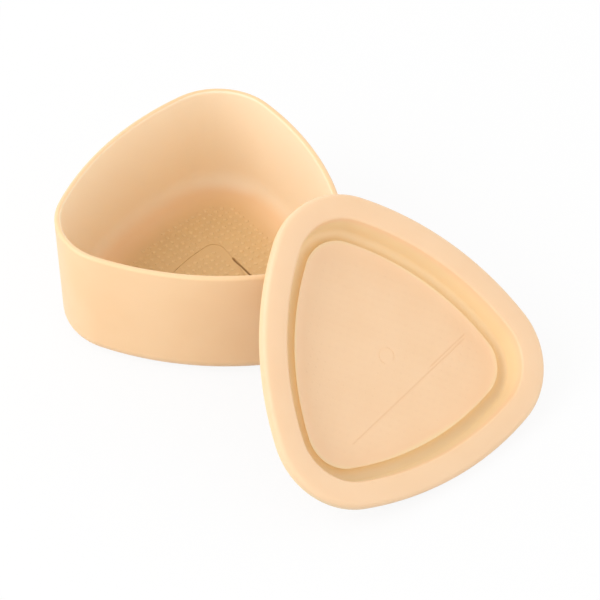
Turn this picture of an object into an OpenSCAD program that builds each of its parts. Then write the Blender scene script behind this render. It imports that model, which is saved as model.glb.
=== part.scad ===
// Rice mold press: a deep rounded-triangle mold, and the press lid that stands
// beside it and leans on its rim. Millimetres, +Z up, origin at the middle of
// the mold's base, one corner of the mold towards +Y.

/* [Mold outline] */
// middle of the mold to the tip of a rim corner
corner_distance = 50; // [40:0.5:60]
// radius of the rim's rounded corners
corner_radius = 22; // [18:0.5:28]
// half the angle that each of the rim's bowed sides turns through
side_half_angle = 18.1; // [12:0.1:24]

/* [Mold body] */
// height of the mold, base to rim
mold_height = 43.5; // [34:0.5:55]
// thickness of the mold's wall, with its full round along the rim
mold_wall = 2; // [1.4:0.1:3]
// thickness of the mold's floor
floor_thickness = 2; // [1.4:0.1:3]
// how far the wall leans in from rim to base
wall_lean_width = 1.1; // [0.4:0.1:3]
// outer radius where the wall turns into the base
base_radius = 6; // [4:0.5:8]
// inner radius where the wall turns into the floor
foot_radius = 9; // [8:0.5:10]

/* [Press lid rim] */
// how far the lid's edge stands out past the mold's rim
lid_overhang = 3.4; // [2.8:0.1:5]
// wall thickness of the lid
lid_wall = 1.5; // [1.2:0.1:2]
// height of the skirt round the lid's edge
skirt_height = 4; // [3:0.5:7]
// rounding between the skirt and the rim ring
edge_radius = 1.9; // [1.6:0.1:2.5]
// width of the rim ring, from the lid's edge to the mouth of the recess
ring_width = 8; // [7.6:0.1:10]
// radius of the ring's gentle crown
crown_radius = 18; // [14:1:40]
// rounding of the ring's inner edge
mouth_radius = 1; // [0.5:0.1:1.4]

/* [Press lid plug] */
// depth of the recess, from the ring's top to the press panel
recess_depth = 7.9; // [5:0.1:12]
// how far the recess wall leans in from the ring to the channel
plug_lean_width = 1.4; // [0.6:0.1:3]
// radius of the round channel between the recess wall and the panel
channel_radius = 2; // [1.2:0.1:2.4]
// width of the level land at the very edge of the panel
bank_land_width = 0.4; // [0.2:0.1:1]
// height of the soft bank that rises to that land
bank_height = 0.5; // [0.3:0.1:1]
// width of that bank
bank_width = 3; // [2:0.5:5]

/* [Groove, slit and line] */
// middle of the floor to the tip of the inner triangle
inner_distance = 18.6; // [14:0.2:22]
// corner radius of the inner triangle
inner_corner_radius = 4; // [2:0.5:6]
// half the angle that each side of the inner triangle turns through
inner_half_angle = 11; // [6:0.5:20]
// width of the inner triangle's fine groove
groove_width = 0.5; // [0.3:0.1:1]
// depth of that groove
groove_depth = 0.35; // [0.2:0.05:0.6]
// distance of the floor's slit and of the panel's line from the middle
slit_distance = 13.4; // [11:0.2:16]
// turn of the slit and of the line against the side that they run beside
slit_turn = 13; // [0:1:20]
// width of the slit through the floor
floor_slit_width = 0.8; // [0.4:0.1:1.5]
// length of the slit through the floor
floor_slit_length = 26; // [10:1:30]
// how far the floor's slit lies off the middle of its side
floor_slit_shift = -8; // [-12:0.5:0]
// width of the fine straight line in the press panel
panel_line_width = 0.4; // [0.3:0.1:1]
// length of that line
panel_line_length = 54; // [20:1:56]
// depth of that line
panel_line_depth = 0.2; // [0.1:0.05:0.5]

/* [Leaning lid] */
// tip of the lid about the left-right axis
lean_tip = 37.6; // [30:0.1:50]
// tip of the lid about the front-back axis
lean_roll = 2.2; // [-5:0.1:8]
// turn of the lid about the upright axis
lean_turn = 44.4; // [30:0.1:60]
// direction from the mold's axis to the lid, seen from above
lean_direction = -38.6; // [-50:0.1:-30]
// gap that is left between the lid and the mold's rim
rim_gap = 0.3; // [0.2:0.05:0.6]
// gap that is left between the lid and the table
table_gap = 0.2; // [0.1:0.05:0.4]

/* [Hidden] */
$fn = 96;
// overlap of two bodies of one moulding, and of a cutter past the face it cuts
overlap = 0.6;
// largest turn between two points of a section's arc, on tight and on flat arcs
section_step = 15;
crown_step = 4;
// points along each arc of a plate's outline, and when the lid is set on the rim
plate_steps = 6;
rest_steps = 36;
// steps that close the lid's gap to the rim
lean_steps = 14;

// the outlines: reach, corner radius, half the angle that a side turns through
mold_rim = [corner_distance, corner_radius, side_half_angle];
lid_rim = mold_rim + lid_overhang * [1, 1, 0];
inner_triangle = [inner_distance, inner_corner_radius, inner_half_angle];

// ---- rounded triangle -------------------------------------------------------

// middle of a corner's arc, as its distance from the middle
function corner_middle(rim) = rim[0] - rim[1];

// distance between the middles of a side's arc and of the corner arcs it meets
function side_reach(rim) = corner_middle(rim) * sin(60) / sin(rim[2]);

// middle of a side's arc, as its distance beyond the middle
function side_middle(rim) = side_reach(rim) * cos(rim[2]) - corner_middle(rim) / 2;

function side_radius(rim) = side_reach(rim) + rim[1];

// half the angle that a corner's arc turns through
function corner_half(rim) = 60 - rim[2];

// Sweeps a section once round the outline. In the section, x runs inwards from
// the outline and y is height.
module sweep(rim) {
    for (a = [0, 120, 240]) {
        arc_sweep(side_middle(rim), side_radius(rim), a, -90, rim[2]) children();
        arc_sweep(corner_middle(rim), rim[1], a, 90, corner_half(rim)) children();
    }
}

// One arc of the sweep, about a middle that lies in the direction a from +Y.
module arc_sweep(middle, radius, a, heading, half) {
    shift(middle * [-sin(a), cos(a)])
        rotate_extrude(angle = 2 * half, start = a + heading - half)
            shift([radius, 0]) mirror([1, 0]) children();
}

// Moves by whole hundredths and then by the rest, so that neighbouring arcs end
// on the very same line.
module shift(v) {
    coarse = [for (c = v) round(100 * c) / 100];
    translate(coarse) translate(v - coarse) children();
}

// A flat plate that fills the sweep's middle: straight between a few points, all
// of them within the sweep's own flat strip.
module plate(rim, start, thickness) {
    linear_extrude(thickness)
        polygon([for (p = outline_points(rim, start + overlap / 2, 0, plate_steps)) [p.x, p.y]]);
}

function turned(v, a) = [v.x * cos(a) - v.y * sin(a), v.x * sin(a) + v.y * cos(a)];

// points along one arc but its last, and round a whole outline drawn in by inset
function arc(middle, radius, heading, half, steps) = [
    for (i = [0:steps - 1])
        let (a = heading + half * (2 * i / steps - 1)) [0, middle] + radius * [cos(a), sin(a)]
];
function outline_points(rim, inset, z, steps) = [
    for (a = [0, 120, 240], p = concat(
        arc(side_middle(rim), side_radius(rim) - inset, -90, rim[2], steps),
        [for (c = arc(corner_middle(rim), rim[1] - inset, 90, corner_half(rim), steps)) turned(c, -120)]
    )) let (q = turned(p, a)) [q.x, q.y, z]
];

// ---- mold -------------------------------------------------------------------

// direction from the drafted wall into the cavity, square to the wall
wall_in = [mold_height, wall_lean_width] / norm([mold_height, wall_lean_width]);

// the point at height z that lies depth inside the wall's outer face
function wall_point(z, depth) = [(depth - wall_in.y * z) / wall_in.x + wall_lean_width, z];

// middles of the base's outer rounding and of the inner one at the wall's foot
base_turn = wall_point(base_radius, base_radius);
foot_turn = wall_point(floor_thickness + foot_radius, mold_wall + foot_radius);

// how far the swept floor reaches in before the flat floor takes over
floor_start = foot_turn.x + 2 * overlap;

module mold_section() {
    rim = wall_point(mold_height - mold_wall / 2, mold_wall / 2);
    difference() {
        union() {
            polygon([
                rim - mold_wall / 2 * wall_in,
                base_turn - base_radius * wall_in,
                base_turn,
                [base_turn.x, 0],
                [foot_turn.x, 0],
                foot_turn,
                foot_turn - foot_radius * wall_in,
                rim + mold_wall / 2 * wall_in
            ]);
            translate(base_turn) base_rounding();
        }
        shift(foot_turn) circle(foot_radius);
    }
    translate(rim) circle(mold_wall / 2);
    translate([foot_turn.x, 0]) square([floor_start + overlap - foot_turn.x, floor_thickness]);
}

// the quarter of the outer rounding's disc between the wall and the base
module base_rounding() {
    reach = 2 * base_radius;
    intersection() {
        circle(base_radius);
        polygon([[0, 0], -reach * wall_in, -reach * [1, 1], [0, -reach]]);
    }
}

module mold_box() {
    color("#f3cfa3")
        difference() {
            union() {
                sweep(mold_rim) mold_section();
                plate(mold_rim, floor_start, floor_thickness);
            }
            fine_groove(floor_thickness);
            straight_cut(
                30, [floor_slit_width, floor_slit_length], floor_slit_shift,
                -overlap, floor_thickness + overlap
            );
        }
}

// ---- groove, slit and line --------------------------------------------------

// the inner triangle's groove, cut down from a face at height top
module fine_groove(top) {
    sweep(inner_triangle)
        translate([0, top - groove_depth]) square([groove_width, groove_depth + overlap]);
}

// a straight cut beside the side that faces heading, from height bottom to top
module straight_cut(heading, size, shift, bottom, top) {
    rotate(heading + slit_turn)
        translate([slit_distance - size.x / 2, shift - size.y / 2, bottom])
            cube([size.x, size.y, top - bottom]);
}

// ---- press lid --------------------------------------------------------------

// In the lid's own frame the crown of its rim ring is at height 0, and +Z points
// out of its face, away from the rice.

channel_depth = recess_depth - bank_height;
channel_x = ring_width + plug_lean_width + channel_radius;
panel_edge = channel_x + channel_radius;
panel_flat = panel_edge + bank_land_width + bank_width;
bank_radius = (pow(bank_width, 2) + pow(bank_height, 2)) / (2 * bank_height);
panel_bottom = -recess_depth - lid_wall;

// the recess wall's visible line, from the ring to the channel, and its normal
recess_top = [ring_width, 0];
recess_foot = [ring_width + plug_lean_width, -channel_depth];
recess_along = (recess_foot - recess_top) / norm(recess_foot - recess_top);
recess_out = [-recess_along.y, recess_along.x];
recess_wall = lid_wall / recess_out.x;
channel_outer = channel_radius + recess_wall;

// middle of the ring's crown arc
crown_middle = [ring_width / 2, -crown_radius];
// middle of the rounding between skirt and crown, which both arcs touch
edge_middle = [
    edge_radius,
    crown_middle.y + sqrt(pow(crown_radius - edge_radius, 2) - pow(crown_middle.x - edge_radius, 2))
];
// middle of the rounding between crown and recess wall: as far inside the wall's
// line as inside the crown's arc
mouth_middle = crossing(
    crown_middle, crown_radius - mouth_radius, recess_top - mouth_radius * recess_out, recess_along
);
// directions of the crown's two ends and of the recess wall's outer side
edge_end = heading(edge_middle - crown_middle);
mouth_end = heading(mouth_middle - crown_middle);
recess_side = heading(recess_out);

// an arc's points, from one direction to another, section_step or less apart
function section_arc(middle, radius, from, to, step = section_step) =
    let (steps = ceil(abs(to - from) / step))
    [for (i = [0:steps]) let (a = from + (to - from) * i / steps) middle + radius * [cos(a), sin(a)]];

// the corner inside the mouth, where the ring's and the recess wall's backs meet
mouth_back = crossing(
    crown_middle, crown_radius - lid_wall,
    mouth_middle + (mouth_radius - lid_wall) * recess_out, recess_along
);

module lid_section() {
    channel_middle = [channel_x, -channel_depth];
    bank_middle = [panel_flat, -recess_depth + bank_radius];
    bank_end = heading([panel_edge + bank_land_width, -channel_depth] - bank_middle) + 360;
    under_end = 360 - asin((-channel_depth - panel_bottom) / channel_outer);
    back_end = heading(mouth_back - crown_middle);
    polygon(concat(
        // visible side: skirt, rounded edge, crown, mouth, recess wall
        [[0, -skirt_height]],
        section_arc(edge_middle, edge_radius, 180, edge_end),
        section_arc(crown_middle, crown_radius, edge_end - crown_step, mouth_end + crown_step, crown_step),
        section_arc(mouth_middle, mouth_radius, mouth_end, recess_side),
        // channel, land, bank and panel
        section_arc(channel_middle, channel_radius, 180, 360),
        section_arc(bank_middle, bank_radius, bank_end, 270, crown_step),
        [[panel_flat + overlap, -recess_depth], [panel_flat + overlap, panel_bottom]],
        // back: panel, channel, recess wall, crown, skirt
        section_arc(channel_middle, channel_outer, under_end, 180),
        section_arc(crown_middle, crown_radius - lid_wall, back_end, edge_end, crown_step),
        section_arc(edge_middle, edge_radius - lid_wall, edge_end + section_step, 180),
        [[lid_wall, -skirt_height]]
    ));
}

function heading(v) = atan2(v.y, v.x);

// where a line leaves a circle, met from inside and followed against its run
function crossing(middle, radius, point, along) =
    let (back = (point - middle) * along, side2 = norm(point - middle) ^ 2 - back ^ 2)
    point - (back + sqrt(radius ^ 2 - side2)) * along;

module lid() {
    difference() {
        union() {
            sweep(lid_rim) lid_section();
            translate([0, 0, panel_bottom]) plate(lid_rim, panel_flat, lid_wall);
        }
        straight_cut(
            270, [panel_line_width, panel_line_length], 0,
            -recess_depth - panel_line_depth, -recess_depth + overlap
        );
    }
}

// ---- leaning lid ------------------------------------------------------------

function tipped(v, a) = [v.x, v.y * cos(a) - v.z * sin(a), v.y * sin(a) + v.z * cos(a)];
function rolled(v, a) = [v.x * cos(a) + v.z * sin(a), v.y, v.z * cos(a) - v.x * sin(a)];
function spun(v, a) = [v.x * cos(a) - v.y * sin(a), v.x * sin(a) + v.y * cos(a), v.z];
function leaning(v) = spun(rolled(tipped(v, lean_tip), lean_roll), lean_turn);

// the lid stands on the lower of its skirt's edge and its channel's round back
skirt_points = [for (p = outline_points(lid_rim, 0, -skirt_height, rest_steps)) leaning(p)];
channel_points = [for (p = outline_points(lid_rim, channel_x, -channel_depth, rest_steps)) leaning(p)];
skirt_low = min([for (p = skirt_points) p.z]);
channel_low = min([for (p = channel_points) p.z]) - channel_outer;
lean_height = table_gap - min(skirt_low, channel_low);

// the channel's round back rests on the rim's round edge
lean_heading = [cos(lean_direction), sin(lean_direction), 0];
rim_point = wall_point(mold_height - mold_wall / 2, mold_wall / 2);
rim_line = [
    for (p = outline_points(mold_rim, rim_point.x, rim_point.y, rest_steps))
        if (p * lean_heading > corner_distance / 4) p
];
channel_line = [
    for (p = channel_points)
        if (p * lean_heading < -corner_distance / 4) p + [0, 0, lean_height]
];
function rest_gap(distance) =
    min([for (p = rim_line, q = channel_line) norm(p - q - distance * lean_heading)])
    - mold_wall / 2 - channel_outer;

// closing by the gap that is left can't run through the rim
function closed_in(distance, steps) =
    steps == 0 ? distance : closed_in(distance - (rest_gap(distance) - rim_gap), steps - 1);
lean_distance = closed_in(2 * lid_rim[0], lean_steps);

module press_lid() {
    color("#f6d5ac")
        translate(lean_distance * lean_heading + [0, 0, lean_height])
            rotate([lean_tip, lean_roll, lean_turn])
                lid();
}

echo(lean_distance = lean_distance, lean_height = lean_height, rest_gap = rest_gap(lean_distance));

mold_box();
press_lid();
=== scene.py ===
"""A rice mold press: a deep rounded-triangle mold, and the press lid that leans on its rim."""

import itertools
import logging
import math
from collections.abc import Iterator
from dataclasses import dataclass
from enum import Enum

import bmesh
import bpy
from bmesh.types import BMesh, BMVert
from mathutils import Euler, Matrix, Vector

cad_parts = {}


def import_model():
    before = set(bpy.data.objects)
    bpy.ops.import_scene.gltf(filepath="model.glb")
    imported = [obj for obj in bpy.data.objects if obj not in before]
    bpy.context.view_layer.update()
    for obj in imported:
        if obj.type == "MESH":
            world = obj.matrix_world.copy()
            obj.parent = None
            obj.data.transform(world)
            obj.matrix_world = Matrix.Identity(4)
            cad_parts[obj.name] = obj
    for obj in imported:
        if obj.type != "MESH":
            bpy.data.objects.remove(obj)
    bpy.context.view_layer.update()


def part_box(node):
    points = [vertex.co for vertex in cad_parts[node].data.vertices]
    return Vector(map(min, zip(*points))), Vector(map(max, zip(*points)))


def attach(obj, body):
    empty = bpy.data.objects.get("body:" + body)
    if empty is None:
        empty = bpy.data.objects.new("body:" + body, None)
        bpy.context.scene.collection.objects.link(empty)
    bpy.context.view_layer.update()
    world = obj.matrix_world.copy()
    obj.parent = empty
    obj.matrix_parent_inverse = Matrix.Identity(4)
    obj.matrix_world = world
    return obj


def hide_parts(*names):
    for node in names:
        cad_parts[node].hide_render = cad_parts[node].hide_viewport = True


Pair = tuple[float, float]
Triple = tuple[float, float, float]
Colour = tuple[float, float, float, float]
VectorInput = Triple | bpy.types.NodeSocket
ColourInput = Colour | bpy.types.NodeSocket

LOG = logging.getLogger("rice_mold_press")
MM = 0.001
# points of one mesh that lie closer than this are one point
WELD = 0.004 * MM
# how far a section runs on over a flat, which one flat face then closes
LAND = 1 * MM
# headings of a triangle's sides, in degrees, where one corner is towards +Y
SIDE_HEADINGS = (30, 150, 270)
# steps along each side and round each corner of an outline
SIDE_STEPS = 18
CORNER_STEPS = 28
# largest angle between two points of a section's arc, in degrees
ROUNDING_STEP = 7.5
SHALLOW_STEP = 2.0
EDGE_STEP = 15.0


class Slot(Enum):
    """The material slots of the two mouldings."""

    MOLD = "mold_plastic"
    LID = "lid_plastic"


class Body(Enum):
    """The bodies that the pieces ride on."""

    MOLD = "mold"
    LID = "lid"


class Ray(Enum):
    """The kinds of ray that see the white surroundings."""

    CAMERA = "Camera"
    GLOSSY = "Glossy"
    THROUGH = "Transmission"


# ---- shader maths ------------------------------------------------------------


class Value:
    """A number in a shader, on which Python's operators add Math nodes."""

    def __init__(self, shader: "Shader", socket: bpy.types.NodeSocket) -> None:
        """Wraps one output socket.

        Args:
            shader: The shader that the socket belongs to.
            socket: The output socket that carries the number.
        """
        self.shader = shader
        self.socket = socket

    def math(self, operation: str, *others: "Value | float") -> "Value":
        """Adds a Math node with this value first.

        Args:
            operation: The Math node's operation.
            others: The node's other inputs, in order.

        Returns:
            The node's result.
        """
        return self.shader.math(operation, self, *others)

    def __add__(self, other: "Value | float") -> "Value":
        """Adds another value."""
        return self.math("ADD", other)

    __radd__ = __add__

    def __mul__(self, other: "Value | float") -> "Value":
        """Multiplies by another value."""
        return self.math("MULTIPLY", other)

    __rmul__ = __mul__

    def __sub__(self, other: "Value | float") -> "Value":
        """Takes another value away."""
        return self.math("SUBTRACT", other)

    def __rsub__(self, other: float) -> "Value":
        """Takes this value away from a number."""
        return self.shader.math("SUBTRACT", other, self)


class Shader:
    """A material's or the world's node tree."""

    def __init__(self, owner: bpy.types.Material | bpy.types.World) -> None:
        """Empties the owner's tree.

        Args:
            owner: The material or world that gets the shader.
        """
        owner.use_nodes = True
        self.tree = owner.node_tree
        self.tree.nodes.clear()

    def node(
        self,
        kind: str,
        settings: dict[str, object] | None = None,
        sockets: dict[str | int, object] | None = None,
    ) -> bpy.types.Node:
        """Adds any node.

        Args:
            kind: The node's type.
            settings: The node's own settings, set first.
            sockets: A plain value, a Value or a socket for each input, by name or number.

        Returns:
            The new node.
        """
        made = self.tree.nodes.new(kind)
        for name, setting in (settings or {}).items():
            setattr(made, name, setting)
        for name, given in (sockets or {}).items():
            if isinstance(given, Value):
                given = given.socket
            if isinstance(given, bpy.types.NodeSocket):
                self.tree.links.new(given, made.inputs[name])
            else:
                made.inputs[name].default_value = given
        return made

    def math(self, operation: str, *inputs: Value | float) -> Value:
        """Adds a Math node.

        Args:
            operation: The node's operation.
            inputs: Its inputs, in order.

        Returns:
            The node's result.
        """
        made = self.node("ShaderNodeMath", {"operation": operation}, dict(enumerate(inputs)))
        return Value(self, made.outputs[0])

    def place(self) -> bpy.types.NodeSocket:
        """Gives the place on the object, in the frame's metres."""
        return self.node("ShaderNodeTexCoord").outputs["Object"]

    def normal(self) -> bpy.types.NodeSocket:
        """Gives the direction that the surface faces, in the frame."""
        return self.node("ShaderNodeTexCoord").outputs["Normal"]

    def direction(self) -> bpy.types.NodeSocket:
        """Gives the direction in which a ray looks, in the world's shader."""
        return self.node("ShaderNodeTexCoord").outputs["Generated"]

    def seen_by(self, *rays: Ray) -> Value:
        """Tells some kinds of ray from the others.

        Args:
            rays: The kinds of ray.

        Returns:
            1 where one of them looks, and 0 where another kind does.
        """
        path = self.node("ShaderNodeLightPath")
        first, *others = [Value(self, path.outputs[f"Is {ray.value} Ray"]) for ray in rays]
        for other in others:
            first = first.math("MAXIMUM", other)
        return first

    def vector_math(self, operation: str, *inputs: VectorInput) -> bpy.types.Node:
        """Adds a Vector Math node."""
        return self.node("ShaderNodeVectorMath", {"operation": operation}, dict(enumerate(inputs)))

    def dot(self, vector: bpy.types.NodeSocket, other: VectorInput) -> Value:
        """Gives the dot product of a vector with another one."""
        return Value(self, self.vector_math("DOT_PRODUCT", vector, other).outputs["Value"])

    def triangle_reach(self, place: bpy.types.NodeSocket, rounding: float) -> Value:
        """Measures how far out a place lies, by the rounded triangle that runs through it.

        Args:
            place: The place, with one corner of the triangle towards +Y.
            rounding: How softly one side's measure gives way to the next one's.

        Returns:
            The distance of the middle of that triangle's side.
        """
        sides = [math.radians(side) for side in SIDE_HEADINGS]
        first, *others = [self.dot(place, (math.cos(s), math.sin(s), 0.0)) for s in sides]
        for other in others:
            first = first.math("SMOOTH_MAX", other, rounding)
        return first

    def noise(self, scale: float, detail: float) -> Value:
        """Adds smooth noise over the object.

        Args:
            scale: Noise cells to the metre.
            detail: Layers of finer noise.

        Returns:
            The noise, around a half.
        """
        sockets = {"Vector": self.place(), "Scale": scale, "Detail": detail}
        return Value(self, self.node("ShaderNodeTexNoise", sockets=sockets).outputs["Fac"])

    def spread(self, value: Value, low: float, high: float) -> Value:
        """Stretches a stretch of a value to run from 0 to 1.

        Args:
            value: The value.
            low: What becomes 0, and all below it.
            high: What becomes 1, and all above it.

        Returns:
            The stretched value.
        """
        sockets = {"Value": value, "From Min": low, "From Max": high}
        made = self.node("ShaderNodeMapRange", {"interpolation_type": "SMOOTHSTEP"}, sockets)
        return Value(self, made.outputs["Result"])

    def blend(self, share: Value, first: ColourInput, second: ColourInput) -> bpy.types.NodeSocket:
        """Mixes two colours.

        Args:
            share: The second colour's share.
            first: The first colour or its socket.
            second: The second colour or its socket.

        Returns:
            The mixed colour's socket.
        """
        made = self.node("ShaderNodeMix", {"data_type": "RGBA"}, {"Factor": share})
        for name, colour in (("A", first), ("B", second)):
            end = next(s for s in made.inputs if s.name == name and s.type == "RGBA")
            if isinstance(colour, bpy.types.NodeSocket):
                self.tree.links.new(colour, end)
            else:
                end.default_value = colour
        return next(s for s in made.outputs if s.type == "RGBA")


# ---- finishes ----------------------------------------------------------------


@dataclass(frozen=True)
class MouldedPlastic:
    """Satin moulded plastic, with cloudy tone, fine skin and faint flow streaks."""

    name: str
    tone: Colour
    deep_tone: Colour
    cloud_scale: float = 55.0
    cloud_detail: float = 3.0
    cloud_range: Pair = (0.35, 0.7)
    cloud_share: float = 0.45
    cloud_roughness: float = 0.05
    streak_scale: float = 16.0
    streak_detail: float = 1.0
    streak_range: Pair = (0.4, 0.65)
    streak_share: float = 0.35
    skin_scale: float = 2600.0
    skin_detail: float = 2.0
    skin_depth: float = 0.006 * MM
    skin_roughness: float = 0.10
    wave_scale: float = 210.0
    wave_detail: float = 1.0
    wave_depth: float = 0.02 * MM
    roughness: float = 0.42
    refraction: float = 1.49
    glow_weight: float = 0.2
    glow_reach: float = 2.0 * MM
    glow_colour: Triple = (1.0, 0.88, 0.72)

    def colour(self, shader: Shader, share: Value) -> bpy.types.NodeSocket:
        """Mixes the plastic's two tones.

        Args:
            shader: The material's shader.
            share: The deeper tone's share.

        Returns:
            The mixed colour.
        """
        return shader.blend(share, self.tone, self.deep_tone)

    def build(self) -> bpy.types.Material:
        """Makes the material.

        Returns:
            The material.
        """
        material = bpy.data.materials.new(self.name)
        shader = Shader(material)
        clouds = shader.noise(self.cloud_scale, self.cloud_detail)
        clouds = shader.spread(clouds, *self.cloud_range)
        streaks = shader.noise(self.streak_scale, self.streak_detail)
        streaks = shader.spread(streaks, *self.streak_range)
        skin = shader.noise(self.skin_scale, self.skin_detail)
        wave = shader.noise(self.wave_scale, self.wave_detail)
        share = clouds * self.cloud_share + streaks * self.streak_share
        rough = (skin - 0.5) * self.skin_roughness + clouds * self.cloud_roughness + self.roughness
        swell = shader.node("ShaderNodeBump", sockets={"Distance": self.wave_depth, "Height": wave})
        bump = shader.node(
            "ShaderNodeBump",
            sockets={"Distance": self.skin_depth, "Height": skin, "Normal": swell.outputs[0]},
        )
        surface = shader.node(
            "ShaderNodeBsdfPrincipled",
            sockets={
                "Base Color": self.colour(shader, share),
                "Roughness": rough,
                "IOR": self.refraction,
                "Subsurface Weight": self.glow_weight,
                "Subsurface Radius": self.glow_colour,
                "Subsurface Scale": self.glow_reach,
                "Normal": bump.outputs[0],
            },
        )
        shader.node("ShaderNodeOutputMaterial", sockets={"Surface": surface.outputs[0]})
        return material


@dataclass(frozen=True)
class PaintedLightCavityPlastic(MouldedPlastic):
    """The mold's plastic, with painted light and shade: a paler painted tone on the cavity's inner
    walls, where light falls and shines through, and a darker painted shade on its floor.

    Each pair is the stretch over which a tone comes in or goes out.
    """

    # painted light and shade: the wall tone is painted light on the inner walls, and the floor tone
    # is painted shade on the deep floor
    painted_light_wall_tone: Colour = (0.96, 0.785, 0.57, 1.0)
    painted_shade_floor_tone: Colour = (0.75, 0.51, 0.25, 1.0)
    wall_facing: Pair = (18 * MM, 38 * MM)
    floor_height: Pair = (3 * MM, 9 * MM)
    floor_reach: Pair = (23 * MM, 34 * MM)
    floor_rounding: float = 55 * MM

    def colour(self, shader: Shader, share: Value) -> bpy.types.NodeSocket:
        """Paints light and shade into the plastic's tones: paler on the cavity's inner walls,
        darker on its floor.

        Args:
            shader: The material's shader.
            share: The deeper tone's share.

        Returns:
            The mixed colour.
        """
        # painted light: surfaces that face inwards, far from the middle (the cavity's inner walls),
        # get the paler painted tone
        inwards = shader.vector_math("MULTIPLY", shader.place(), (-1.0, -1.0, 0.0))
        facing = shader.dot(inwards.outputs[0], shader.normal())
        wall = shader.spread(facing, *self.wall_facing)
        # painted shade: the low floor inside the cavity gets the darker painted tone
        high = shader.dot(shader.place(), (0.0, 0.0, 1.0))
        away = shader.triangle_reach(shader.place(), self.floor_rounding)
        within = 1.0 - shader.spread(away, *self.floor_reach)
        floor = (1.0 - shader.spread(high, *self.floor_height)) * within
        plain = super().colour(shader, share)
        return shader.blend(floor, shader.blend(wall, plain, self.painted_light_wall_tone), self.painted_shade_floor_tone)


@dataclass(frozen=True)
class PaintedLightChannelPlastic(MouldedPlastic):
    """The lid's plastic, with painted light: a yellower painted tone along its recessed round
    channel, standing in for how light falls and bounces there.

    Each pair is the stretch over which the channel's tone comes in, in the lid's own frame.
    """

    place: Triple = (0.0, 0.0, 0.0)
    lean: Triple = (0.0, 0.0, 0.0)
    # painted light: the channel's tone stands in for how light falls and bounces in the recess
    painted_light_channel_tone: Colour = (0.90, 0.68, 0.40, 1.0)
    channel_depth: Pair = (0.6 * MM, 4.5 * MM)
    channel_reach: Pair = (29.0 * MM, 30.4 * MM)
    channel_rounding: float = 60 * MM

    def colour(self, shader: Shader, share: Value) -> bpy.types.NodeSocket:
        """Paints the recessed channel's painted light tone over the plastic's.

        Args:
            shader: The material's shader.
            share: The deeper tone's share.

        Returns:
            The mixed colour.
        """
        own = shader.node(
            "ShaderNodeMapping",
            {"vector_type": "TEXTURE"},
            {"Vector": shader.place(), "Location": self.place, "Rotation": self.lean},
        )
        # painted light: the tone comes in where the lid runs deep, outside the panel
        depth = shader.dot(own.outputs[0], (0.0, 0.0, -1.0))
        away = shader.triangle_reach(own.outputs[0], self.channel_rounding)
        deep = shader.spread(depth, *self.channel_depth)
        channel = deep * shader.spread(away, *self.channel_reach)
        return shader.blend(channel, super().colour(shader, share), self.painted_light_channel_tone)


@dataclass(frozen=True)
class WhiteTable:
    """The white table: white in the open, with a faint shadow, and dark under the mold."""

    name: str = "white_table"
    albedo: Colour = (0.6, 0.6, 0.6, 1.0)
    white_strength: float = 1.06
    shade_share: float = 0.16
    mold_reach: Pair = (30 * MM, 33 * MM)
    mold_rounding: float = 55 * MM

    def build(self) -> bpy.types.Material:
        """Makes the material.

        Returns:
            The material.
        """
        material = bpy.data.materials.new(self.name)
        shader = Shader(material)
        lit = shader.node("ShaderNodeBsdfDiffuse", sockets={"Color": self.albedo})
        white = shader.node("ShaderNodeEmission", sockets={"Strength": self.white_strength})
        seen = shader.seen_by(Ray.CAMERA, Ray.GLOSSY, Ray.THROUGH)
        away = shader.triangle_reach(shader.place(), self.mold_rounding)
        clear = shader.spread(away, *self.mold_reach) * (1.0 - self.shade_share)
        mixed = shader.node(
            "ShaderNodeMixShader",
            sockets={0: seen * clear, 1: lit.outputs[0], 2: white.outputs[0]},
        )
        shader.node("ShaderNodeOutputMaterial", sockets={"Surface": mixed.outputs[0]})
        return material


# ---- outlines and sections ---------------------------------------------------


@dataclass(frozen=True)
class Arc:
    """One arc of an outline, seen from above; angles are in radians."""

    middle: Vector
    radius: float
    heading: float
    half: float

    def carries(self, point: Vector) -> bool:
        """Tells whether a point lies within the arc's wedge.

        Args:
            point: The point.

        Returns:
            Whether it does.
        """
        away = point - self.middle
        turn = math.atan2(away.y, away.x) - self.heading
        return abs(math.remainder(turn, math.tau)) <= self.half


@dataclass(frozen=True)
class RoundedTriangle:
    """Three bowed sides between three round corners, one corner towards +Y."""

    reach: float
    corner_radius: float
    half_angle: float

    @property
    def corner_middle(self) -> float:
        """The distance of a corner arc's middle from the triangle's middle."""
        return self.reach - self.corner_radius

    @property
    def side_reach(self) -> float:
        """The distance between the middles of a side arc and the corner arcs it meets."""
        aside = self.corner_middle * math.sin(math.radians(60))
        return aside / math.sin(math.radians(self.half_angle))

    def grown(self, by: float) -> "RoundedTriangle":
        """Gives the outline that runs a set distance outside this one."""
        return RoundedTriangle(self.reach + by, self.corner_radius + by, self.half_angle)

    def arcs(self) -> list[Arc]:
        """Works out the outline's arcs.

        Returns:
            The six arcs in turn, a corner first, each starting where the last one ends.
        """
        side_half = math.radians(self.half_angle)
        side_middle = self.side_reach * math.cos(side_half) - self.corner_middle / 2
        side_radius = self.side_reach + self.corner_radius
        corner_half = math.radians(60) - side_half
        found = []
        for turn in (0, 120, 240):
            corner, side = math.radians(90 + turn), math.radians(150 + turn)
            towards = Vector((math.cos(corner), math.sin(corner), 0))
            across = Vector((math.cos(side), math.sin(side), 0))
            found.append(Arc(self.corner_middle * towards, self.corner_radius, corner, corner_half))
            found.append(Arc(-side_middle * across, side_radius, side, side_half))
        return found

    def depth(self, point: Vector) -> float:
        """Tells how far inside the outline a point lies.

        Args:
            point: The point.

        Returns:
            Its depth, below zero outside the outline.
        """
        corners, sides = self.arcs()[::2], self.arcs()[1::2]
        near = sides + [corner for corner in corners if corner.carries(point)]
        return min(arc.radius - (point - arc.middle).length for arc in near)


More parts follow.
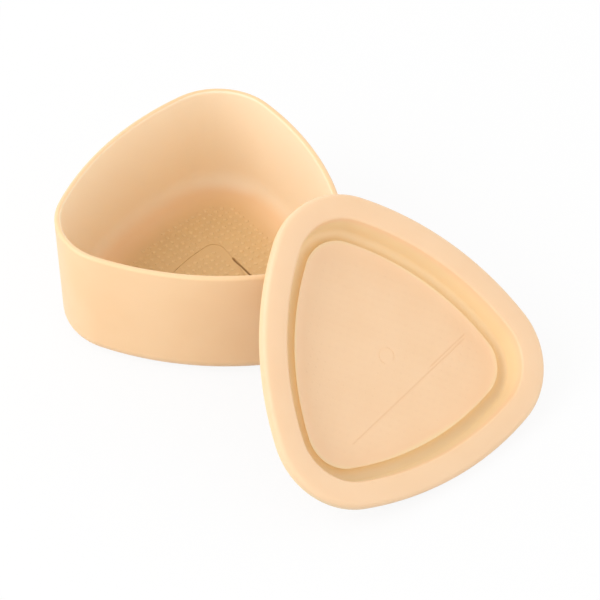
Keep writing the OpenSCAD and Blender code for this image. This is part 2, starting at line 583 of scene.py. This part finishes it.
class SectionPen:
    """Draws a section as one wire: x runs inwards from the outline, and z is height."""

    def __init__(self, x: float, z: float) -> None:
        """Sets the pen down.

        Args:
            x: How far inside the outline the wire starts.
            z: The height at which it starts.
        """
        self.bm = bmesh.new()
        self.first = self.bm.verts.new((x, 0, z))
        self.tip = self.first

    def line_to(self, x: float, z: float) -> "SectionPen":
        """Draws a straight stretch.

        Args:
            x: How far inside the outline it ends.
            z: The height at which it ends.

        Returns:
            The pen.
        """
        made = bmesh.ops.extrude_vert_indiv(self.bm, verts=[self.tip])
        self.tip = made["verts"][0]
        bmesh.ops.translate(self.bm, verts=[self.tip], vec=Vector((x, 0, z)) - self.tip.co)
        return self

    def arc(self, middle: Pair, turn: float, step: float = ROUNDING_STEP) -> "SectionPen":
        """Draws an arc on from the tip.

        Args:
            middle: The arc's middle.
            turn: The angle that it covers, in degrees, from x towards z.
            step: The largest angle between two of its points.

        Returns:
            The pen.
        """
        made = bmesh.ops.spin(
            self.bm,
            geom=[self.tip],
            cent=(middle[0], 0, middle[1]),
            axis=(0, -1, 0),
            angle=math.radians(turn),
            steps=max(1, math.ceil(abs(turn) / step)),
            use_duplicate=False,
        )
        self.tip = next(g for g in made["geom_last"] if isinstance(g, BMVert))
        return self

    def close(self) -> "SectionPen":
        """Joins the tip to the wire's start."""
        bmesh.ops.contextual_create(self.bm, geom=[self.tip, self.first])
        return self

    def sweep(self, outline: RoundedTriangle) -> BMesh:
        """Carries the section once round an outline and closes it into a solid's skin.

        Args:
            outline: The outline.

        Returns:
            The skin, with a flat face over each hole that an open section leaves.
        """
        arcs = outline.arcs()
        start = arcs[0].heading - arcs[0].half
        stand = (
            Matrix.Translation(arcs[0].middle)
            @ Matrix.Rotation(start, 4, "Z")
            @ Matrix.Translation((arcs[0].radius, 0, 0))
            @ Matrix.Scale(-1, 4, (1, 0, 0))
        )
        bmesh.ops.transform(self.bm, matrix=stand, verts=self.bm.verts)
        ring = self.bm.verts[:] + self.bm.edges[:]
        for number, arc in enumerate(arcs):
            made = bmesh.ops.spin(
                self.bm,
                geom=ring,
                cent=arc.middle,
                axis=(0, 0, 1),
                angle=2 * arc.half,
                steps=SIDE_STEPS if number % 2 else CORNER_STEPS,
                use_duplicate=False,
            )
            ring = made["geom_last"]
        bmesh.ops.remove_doubles(self.bm, verts=self.bm.verts, dist=WELD)
        open_edges = [e for e in self.bm.edges if e.is_boundary]
        if open_edges:
            bmesh.ops.holes_fill(self.bm, edges=open_edges, sides=0)
        bmesh.ops.recalc_face_normals(self.bm, faces=self.bm.faces)
        return self.bm


def moved(bm: BMesh, matrix: Matrix) -> BMesh:
    """Moves a whole mesh and gives it back."""
    bmesh.ops.transform(bm, matrix=matrix, verts=bm.verts)
    return bm


def box(size: Triple, middle: Triple, turn: float) -> BMesh:
    """Makes a box that is turned about the upright axis through the origin.

    Args:
        size: Its width, length and height.
        middle: Its middle before the turn.
        turn: The turn in degrees.

    Returns:
        The box.
    """
    bm = bmesh.new()
    bmesh.ops.create_cube(bm, size=1.0)
    bmesh.ops.scale(bm, verts=bm.verts, vec=size)
    return moved(bm, Matrix.Rotation(math.radians(turn), 4, "Z") @ Matrix.Translation(middle))


def object_from(name: str, bm: BMesh) -> bpy.types.Object:
    """Turns a mesh into an object of the scene.

    Args:
        name: The object's name.
        bm: The mesh, which is freed.

    Returns:
        The object.
    """
    mesh = bpy.data.meshes.new(name)
    bm.to_mesh(mesh)
    bm.free()
    made = bpy.data.objects.new(name, mesh)
    bpy.context.scene.collection.objects.link(made)
    return made


def cut(name: str, body: BMesh, cutters: list[BMesh]) -> BMesh:
    """Cuts grooves and slits into a moulding.

    Args:
        name: The moulding's name.
        body: The moulding.
        cutters: The shapes to take out of it, clear of each other or crossing.

    Returns:
        The cut moulding.
    """
    target = object_from(name, body)
    tools = [object_from(f"{name}_cutter", cutter) for cutter in cutters]
    for tool in tools:
        knife = target.modifiers.new(tool.name, "BOOLEAN")
        knife.operation, knife.solver, knife.object = "DIFFERENCE", "EXACT", tool
    shaped = target.evaluated_get(bpy.context.evaluated_depsgraph_get())
    bm = bmesh.new()
    bm.from_mesh(shaped.to_mesh())
    for used in [target, *tools]:
        mesh = used.data
        bpy.data.objects.remove(used)
        bpy.data.meshes.remove(mesh)
    return bm


# ---- pieces ------------------------------------------------------------------


@dataclass
class Piece:
    """One finished piece: its mesh, what it rides on and what it stands for."""

    name: str
    body: Body
    slot: Slot
    replaces: tuple[str, ...] = ()
    sharp_angle: float = 32.0

    def finish(self, bm: BMesh, material: bpy.types.Material) -> None:
        """Shades a mesh, dresses it and puts it on its body.

        Args:
            bm: The piece's mesh, in the frame's place.
            material: Its material.
        """
        for face in bm.faces:
            face.smooth = True
        for edge in bm.edges:
            edge.smooth = edge.calc_face_angle(0.0) < math.radians(self.sharp_angle)
        made = object_from(self.name, bm)
        made.data.materials.append(material)
        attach(made, self.body.value)
        if self.replaces:
            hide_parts(*self.replaces)
        LOG.info("%s: %d faces", self.name, len(made.data.polygons))


@dataclass(frozen=True)
class FineGroove:
    """The fine groove of the inner triangle."""

    triangle: RoundedTriangle = RoundedTriangle(18.6 * MM, 4 * MM, 11)
    width: float = 0.5 * MM
    depth: float = 0.2 * MM

    def cutter(self, top: float) -> BMesh:
        """Makes the groove's cutter.

        Args:
            top: The height of the face that it is cut in.

        Returns:
            The cutter.
        """
        low, high = top - self.depth, top + self.depth
        pen = SectionPen(0, low).line_to(self.width, low).line_to(self.width, high).line_to(0, high)
        return pen.close().sweep(self.triangle)

    def clears(self, point: Vector, reach: float) -> bool:
        """Tells whether a point stays some reach clear of the groove."""
        return not -reach < self.triangle.depth(point) < self.width + reach


@dataclass(frozen=True)
class StraightSlit:
    """A straight slit or line beside one of the triangle's sides."""

    heading: float
    width: float
    length: float
    shift: float = 0.0
    distance: float = 13.4 * MM

    def cutter(self, low: float, high: float) -> BMesh:
        """Makes the slit's cutter between two heights."""
        middle = (self.distance, self.shift, (low + high) / 2)
        return box((self.width, self.length, high - low), middle, self.heading)

    def clears(self, point: Vector, reach: float) -> bool:
        """Tells whether a point stays clear of the slit.

        Args:
            point: The point.
            reach: How far from the slit's edge it has to stay.

        Returns:
            Whether it does.
        """
        turned = Matrix.Rotation(-math.radians(self.heading), 3, "Z") @ point
        across = abs(turned.x - self.distance) - self.width / 2
        along = abs(turned.y - self.shift) - self.length / 2
        return max(across, along) > reach


@dataclass(frozen=True)
class GateMark:
    """The round mark that the gate leaves on the panel, faded out over part of its turn."""

    place: Pair = (1.6 * MM, -0.2 * MM)
    radius: float = 2.6 * MM
    width: float = 0.45 * MM
    start: float = -60.0
    share: float = 0.8
    steps: int = 40

    @property
    def middle(self) -> Vector:
        """The mark's middle on the panel."""
        return Vector((*self.place, 0))

    def cutter(self, top: float, depth: float) -> BMesh:
        """Makes the mark's cutter.

        Args:
            top: The height of the face that it is cut in.
            depth: Its depth.

        Returns:
            The cutter.
        """
        bm = bmesh.new()
        bmesh.ops.create_grid(bm, x_segments=1, y_segments=1, size=0.5)
        bmesh.ops.scale(bm, verts=bm.verts, vec=(self.width, 2 * depth, 1))
        upright = Matrix.Rotation(math.radians(90), 4, "X")
        stand = Matrix.Translation((self.radius, 0, 0)) @ upright
        moved(bm, Matrix.Rotation(math.radians(self.start), 4, "Z") @ stand)
        bmesh.ops.spin(
            bm,
            geom=bm.verts[:] + bm.edges[:] + bm.faces[:],
            cent=(0, 0, 0),
            axis=(0, 0, 1),
            angle=math.tau * self.share,
            steps=self.steps,
            use_duplicate=False,
        )
        bmesh.ops.recalc_face_normals(bm, faces=bm.faces)
        return moved(bm, Matrix.Translation(self.middle + Vector((0, 0, top))))

    def clears(self, point: Vector, reach: float) -> bool:
        """Tells whether a point stays some reach clear of the mark and all within it."""
        return (point - self.middle).length > self.radius + reach


Mark = FineGroove | StraightSlit | GateMark


@dataclass(frozen=True)
class GripDots:
    """Low moulded dots in staggered rows, which keep the rice from sticking."""

    height: float
    pitch: float = 1.8 * MM
    radius: float = 0.78 * MM
    top_radius: float = 0.4 * MM
    margin: float = 0.35 * MM
    foot: float = 0.05 * MM
    rim_segments: int = 12
    sharp_angle: float = 20.0

    def places(self, flat: RoundedTriangle, marks: tuple[Mark, ...]) -> Iterator[Vector]:
        """Finds the dots' places on a flat field.

        Args:
            flat: The outline of the field.
            marks: What is cut into the field.

        Yields:
            The middle of each dot that lies wholly on the field and clear of its marks.
        """
        reach = self.radius + self.margin
        count = math.ceil(flat.reach / self.pitch)
        steps = range(-count, count + 1)
        for row, column in itertools.product(steps, steps):
            point = Vector((column * self.pitch, row * self.pitch, 0))
            on_row = (row + column) % 2 == 0 and flat.depth(point) > self.radius
            if on_row and all(mark.clears(point, reach) for mark in marks):
                yield point

    def build(self, flat: RoundedTriangle, top: float, marks: tuple[Mark, ...] = ()) -> BMesh:
        """Makes the dots of a flat field as one mesh.

        Args:
            flat: The outline of the field.
            top: The height of the face that they stand on.
            marks: What is cut into the field.

        Returns:
            The dots, with their feet sunk in the face.
        """
        bm = bmesh.new()
        rise = self.height + self.foot
        for place in self.places(flat, marks):
            bmesh.ops.create_cone(
                bm,
                cap_ends=True,
                segments=self.rim_segments,
                radius1=self.radius,
                radius2=self.top_radius,
                depth=rise,
                matrix=Matrix.Translation(place + Vector((0, 0, top - self.foot + rise / 2))),
            )
        return bm


@dataclass
class Mold:
    """The deep mold, with its dotted floor."""

    outline: RoundedTriangle = RoundedTriangle(50 * MM, 22 * MM, 18.1)
    height: float = 43.5 * MM
    wall: float = 2 * MM
    floor: float = 2 * MM
    draft: float = 1.1 * MM
    base_radius: float = 6 * MM
    foot_radius: float = 9 * MM
    floor_start: float = 13.5 * MM
    groove: FineGroove = FineGroove()
    slit: StraightSlit = StraightSlit(heading=43.0, width=0.8 * MM, length=26 * MM, shift=-8 * MM)
    dots: GripDots = GripDots(height=0.22 * MM, top_radius=0.5 * MM)
    # its default tones paint light on the cavity's inner walls and shade on its floor
    plastic: PaintedLightCavityPlastic = PaintedLightCavityPlastic(
        "mold_plastic",
        tone=(0.93, 0.635, 0.365, 1.0),
        deep_tone=(0.90, 0.595, 0.325, 1.0),
    )
    dot_plastic: PaintedLightCavityPlastic = PaintedLightCavityPlastic(
        "mold_dot_plastic",
        plastic.tone,
        plastic.deep_tone,
        glow_weight=0.0,
        # the dots get a lighter painted floor shade: a painted highlight that sets them off from
        # the floor
        painted_shade_floor_tone=(0.79, 0.55, 0.28, 1.0),
    )

    @property
    def lean(self) -> float:
        """The wall's lean in radians."""
        return math.atan2(self.draft, self.height)

    def wall_point(self, z: float, depth: float) -> Vector:
        """Gives the point at a height that lies some depth inside the wall's outer face."""
        across = (depth - math.sin(self.lean) * z) / math.cos(self.lean)
        return Vector((across + self.draft, z))

    @property
    def foot_turn(self) -> Vector:
        """The middle of the rounding between the cavity's wall and its floor."""
        return self.wall_point(self.floor + self.foot_radius, self.wall + self.foot_radius)

    def shell(self) -> BMesh:
        """Makes the mold's skin.

        Returns:
            The skin, standing on its base.
        """
        lean = math.degrees(self.lean)
        inwards = Vector((math.cos(self.lean), math.sin(self.lean)))
        turn, foot = self.wall_point(self.base_radius, self.base_radius), self.foot_turn
        rim = self.wall_point(self.height - self.wall / 2, self.wall / 2)
        inner_top = rim + inwards * self.wall / 2
        outer_foot = turn - inwards * self.base_radius
        pen = SectionPen(self.floor_start, self.floor).line_to(self.floor_start - LAND, self.floor)
        pen.line_to(foot.x, self.floor).arc(tuple(foot), lean - 90)
        pen.line_to(*inner_top).arc(tuple(rim), 180)
        pen.line_to(*outer_foot).arc(tuple(turn), 90 - lean)
        pen.line_to(self.floor_start - LAND, 0).line_to(self.floor_start, 0)
        return pen.sweep(self.outline)

    def build(self) -> None:
        """Makes and dresses the mold's pieces."""
        material = self.plastic.build()
        cutters = [self.groove.cutter(self.floor), self.slit.cutter(-self.floor, 2 * self.floor)]
        shell = cut("mold_shell", self.shell(), cutters)
        Piece("mold_shell", Body.MOLD, Slot.MOLD, ("mold_box",)).finish(shell, material)
        flat = self.outline.grown(-self.foot_turn.x)
        dots = self.dots.build(flat, self.floor, (self.groove, self.slit))
        dotted = Piece("mold_floor_dots", Body.MOLD, Slot.MOLD, sharp_angle=self.dots.sharp_angle)
        dotted.finish(dots, self.dot_plastic.build())


@dataclass
class PressLid:
    """The press lid, whose recessed plug fits the mold; it leans on the mold's rim."""

    mold_outline: RoundedTriangle
    overhang: float = 3.4 * MM
    wall: float = 1.5 * MM
    skirt: float = 4 * MM
    skirt_edge: float = 0.35 * MM
    edge_rounding: float = 1.9 * MM
    ring_width: float = 8 * MM
    crown_radius: float = 18 * MM
    mouth_rounding: float = 1 * MM
    recess_depth: float = 7.9 * MM
    plug_draft: float = 1.4 * MM
    channel_radius: float = 2 * MM
    bank_land: float = 0.4 * MM
    bank_height: float = 0.5 * MM
    bank_width: float = 3 * MM
    tip: float = 37.6
    roll: float = 2.2
    turn: float = 44.4
    lines: tuple[StraightSlit, ...] = (
        StraightSlit(heading=283.0, width=0.35 * MM, length=54 * MM),
        StraightSlit(283.0, 0.3 * MM, 17 * MM, shift=19.5 * MM, distance=12.4 * MM),
    )
    gate: GateMark = GateMark()
    mark_depth: float = 0.12 * MM
    dots: GripDots = GripDots(0.03 * MM, radius=0.7 * MM, top_radius=0.35 * MM, margin=0.25 * MM)
    press_dots: GripDots = GripDots(height=0.18 * MM)
    tone: Colour = (0.92, 0.64, 0.40, 1.0)
    deep_tone: Colour = (0.89, 0.60, 0.36, 1.0)

    @property
    def outline(self) -> RoundedTriangle:
        """The lid's own outline, outside the mold's."""
        return self.mold_outline.grown(self.overhang)

    @property
    def panel_start(self) -> float:
        """How far inside the outline the flat panel starts."""
        channel = self.ring_width + self.plug_draft + 2 * self.channel_radius
        return channel + self.bank_land + self.bank_width

    @property
    def lean(self) -> Triple:
        """The lid's turns about the three axes, in radians."""
        return math.radians(self.tip), math.radians(self.roll), math.radians(self.turn)

    def shell(self) -> BMesh:
        """Makes the lid's skin.

        Returns:
            The skin in the lid's own frame, with the ring's crown at height 0.
        """
        foot_depth = self.recess_depth - self.bank_height
        along = Vector((self.plug_draft, -foot_depth)).normalized()
        out = Vector((-along.y, along.x))
        wall_share = self.wall / out.x
        channel = Vector((self.ring_width + self.plug_draft + self.channel_radius, -foot_depth))
        channel_back = self.channel_radius + wall_share
        crown = Vector((self.ring_width / 2, -self.crown_radius))
        reach = self.crown_radius - self.edge_rounding
        rise = math.sqrt(reach**2 - (crown.x - self.edge_rounding) ** 2)
        edge = Vector((self.edge_rounding, crown.y + rise))
        mouth_line = Vector((self.ring_width, 0)) - out * self.mouth_rounding
        mouth = first_crossing(crown, self.crown_radius - self.mouth_rounding, mouth_line, along)
        back_line = mouth + out * (self.mouth_rounding - self.wall)
        mouth_back = first_crossing(crown, self.crown_radius - self.wall, back_line, along)
        edge_end, mouth_end = heading(edge - crown), heading(mouth - crown)
        bank_radius = (self.bank_width**2 + self.bank_height**2) / (2 * self.bank_height)
        bank = Vector((self.panel_start, bank_radius - self.recess_depth))
        land_end = Vector((self.panel_start - self.bank_width, -foot_depth))
        bank_turn = heading(land_end - bank) + 90
        bottom = -self.recess_depth - self.wall
        under = 360 - math.degrees(math.asin((-foot_depth - bottom) / channel_back))
        mouth_foot = mouth + out * self.mouth_rounding

        pen = SectionPen(self.panel_start + LAND, -self.recess_depth)
        pen.line_to(bank.x, bank.y - bank_radius).arc(tuple(bank), bank_turn, SHALLOW_STEP)
        pen.line_to(land_end.x - self.bank_land, -foot_depth)
        pen.arc(tuple(channel), -180).line_to(*mouth_foot)
        pen.arc(tuple(mouth), mouth_end - heading(out))
        pen.arc(tuple(crown), edge_end - mouth_end, SHALLOW_STEP).arc(tuple(edge), 180 - edge_end)
        pen.line_to(0, self.skirt_edge - self.skirt)
        pen.arc((self.skirt_edge, self.skirt_edge - self.skirt), 90, EDGE_STEP)
        pen.line_to(self.wall - self.skirt_edge, -self.skirt)
        pen.arc((self.wall - self.skirt_edge, self.skirt_edge - self.skirt), 90, EDGE_STEP)
        pen.line_to(self.wall, edge.y).arc(tuple(edge), edge_end - 180, EDGE_STEP)
        pen.arc(tuple(crown), heading(mouth_back - crown) - edge_end, SHALLOW_STEP)
        pen.line_to(channel.x - channel_back, channel.y).arc(tuple(channel), under - 180)
        pen.line_to(self.panel_start, bottom).line_to(self.panel_start + LAND, bottom)
        return pen.sweep(self.outline)

    def stand(self, shell: BMesh) -> Matrix:
        """Works out where the lid leans, from the frame's own lid.

        Args:
            shell: The lid's skin in its own frame.

        Returns:
            The matrix that takes the lid's frame to its place.
        """
        lean = Euler(self.lean, "XYZ").to_matrix().to_4x4()
        points = [lean @ v.co for v in shell.verts]
        low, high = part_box("press_lid")
        own = [(min(p[i] for p in points) + max(p[i] for p in points)) / 2 for i in range(3)]
        return Matrix.Translation((low + high) / 2 - Vector(own)) @ lean

    def build(self) -> None:
        """Makes and dresses the lid's pieces."""
        shell = self.shell()
        stand = self.stand(shell)
        place = tuple(stand.translation)
        tones = (self.tone, self.deep_tone)
        # the lid's plastic carries a painted light tone along its channel
        plastic = PaintedLightChannelPlastic("lid_plastic", *tones, place=place, lean=self.lean).build()
        dot_plastic = MouldedPlastic("lid_dot_plastic", *tones, glow_weight=0.0).build()

        top, bottom = -self.recess_depth, -self.recess_depth - self.wall
        low, high = top - self.mark_depth, top + self.wall
        cutters = [self.gate.cutter(top, self.mark_depth)]
        cutters += [line.cutter(low, high) for line in self.lines]
        shell = moved(cut("lid_shell", shell, cutters), stand)
        Piece("lid_shell", Body.LID, Slot.LID, ("press_lid",)).finish(shell, plastic)

        flat = self.outline.grown(-self.panel_start)
        flip = Matrix.Translation((0, 0, bottom)) @ Matrix.Rotation(math.pi, 4, "Y")
        sharp = self.dots.sharp_angle
        dots = moved(self.dots.build(flat, top, (*self.lines, self.gate)), stand)
        Piece("lid_panel_dots", Body.LID, Slot.LID, sharp_angle=sharp).finish(dots, dot_plastic)
        dots = moved(self.press_dots.build(flat, 0.0), stand @ flip)
        Piece("lid_press_dots", Body.LID, Slot.LID, sharp_angle=sharp).finish(dots, dot_plastic)


def heading(vector: Vector) -> float:
    """Gives a flat vector's heading in degrees."""
    return math.degrees(math.atan2(vector.y, vector.x))


def first_crossing(middle: Vector, radius: float, point: Vector, along: Vector) -> Vector:
    """Finds where a line first meets a circle.

    Args:
        middle: The circle's middle.
        radius: Its radius.
        point: A point on the line.
        along: The line's direction, one long.

    Returns:
        The first of its two crossings.
    """
    back = (point - middle).dot(along)
    aside = (point - middle).length_squared - back**2
    return point - along * (back + math.sqrt(radius**2 - aside))


# ---- table, light and camera -------------------------------------------------


@dataclass
class Studio:
    """The white table, the soft light and the camera."""

    table_size: float = 6.0
    camera_place: Triple = (0.11175, -0.75029, 0.7512)
    camera_pitch: float = 45.04
    camera_turn: float = 6.2
    camera_clip: Pair = (0.01, 20.0)
    sensor_width: float = 36.0
    focal_length: float = 195.3
    side_strength: float = 1.38
    top_strength: float = 0.6
    tent_heights: Pair = (0.3, 0.95)
    key_place: Triple = (-0.88, -0.45, 0.95)
    key_size: float = 0.9
    key_power: float = 7.2

    def table(self) -> None:
        """Lays the table under the mold."""
        bm = bmesh.new()
        bmesh.ops.create_grid(bm, x_segments=1, y_segments=1, size=self.table_size / 2)
        made = object_from("white_table", bm)
        made.data.materials.append(WhiteTable().build())

    def sky(self) -> None:
        """Lights the scene as a light tent does, brighter from the sides than from above."""
        world = bpy.data.worlds.new("studio")
        bpy.context.scene.world = world
        shader = Shader(world)
        seen = shader.seen_by(Ray.CAMERA, Ray.THROUGH)
        height = shader.dot(shader.direction(), (0.0, 0.0, 1.0))
        overhead = shader.spread(height, *self.tent_heights)
        light = overhead * (self.top_strength - self.side_strength) + self.side_strength
        strength = seen + (1.0 - seen) * light
        sockets = {"Color": (1.0, 1.0, 1.0, 1.0), "Strength": strength}
        back = shader.node("ShaderNodeBackground", sockets=sockets)
        shader.node("ShaderNodeOutputWorld", sockets={"Surface": back.outputs[0]})

    def key(self) -> None:
        """Hangs the large soft light above the left of the mold."""
        light = bpy.data.lights.new("softbox", "AREA")
        light.shape, light.size, light.energy = "SQUARE", self.key_size, self.key_power
        made = bpy.data.objects.new("softbox", light)
        made.location = self.key_place
        made.rotation_euler = (-Vector(self.key_place)).to_track_quat("-Z", "Y").to_euler()
        bpy.context.scene.collection.objects.link(made)

    def camera(self) -> None:
        """Sets up the camera at the photograph's viewing angle."""
        data = bpy.data.cameras.new("camera")
        data.sensor_width, data.lens = self.sensor_width, self.focal_length
        data.clip_start, data.clip_end = self.camera_clip
        made = bpy.data.objects.new("camera", data)
        made.location = self.camera_place
        made.rotation_euler = (math.radians(self.camera_pitch), 0, math.radians(self.camera_turn))
        bpy.context.scene.collection.objects.link(made)
        bpy.context.scene.camera = made

    def build(self) -> None:
        """Sets the whole studio up."""
        self.camera()
        self.table()
        self.sky()
        self.key()
        bpy.context.scene.view_settings.view_transform = "Standard"


def main() -> None:
    """Builds the press and its studio."""
    logging.basicConfig(level=logging.INFO, format="%(name)s: %(message)s")
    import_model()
    Studio().build()
    mold = Mold()
    mold.build()
    PressLid(mold.outline).build()


if __name__ == "__main__":
    main()
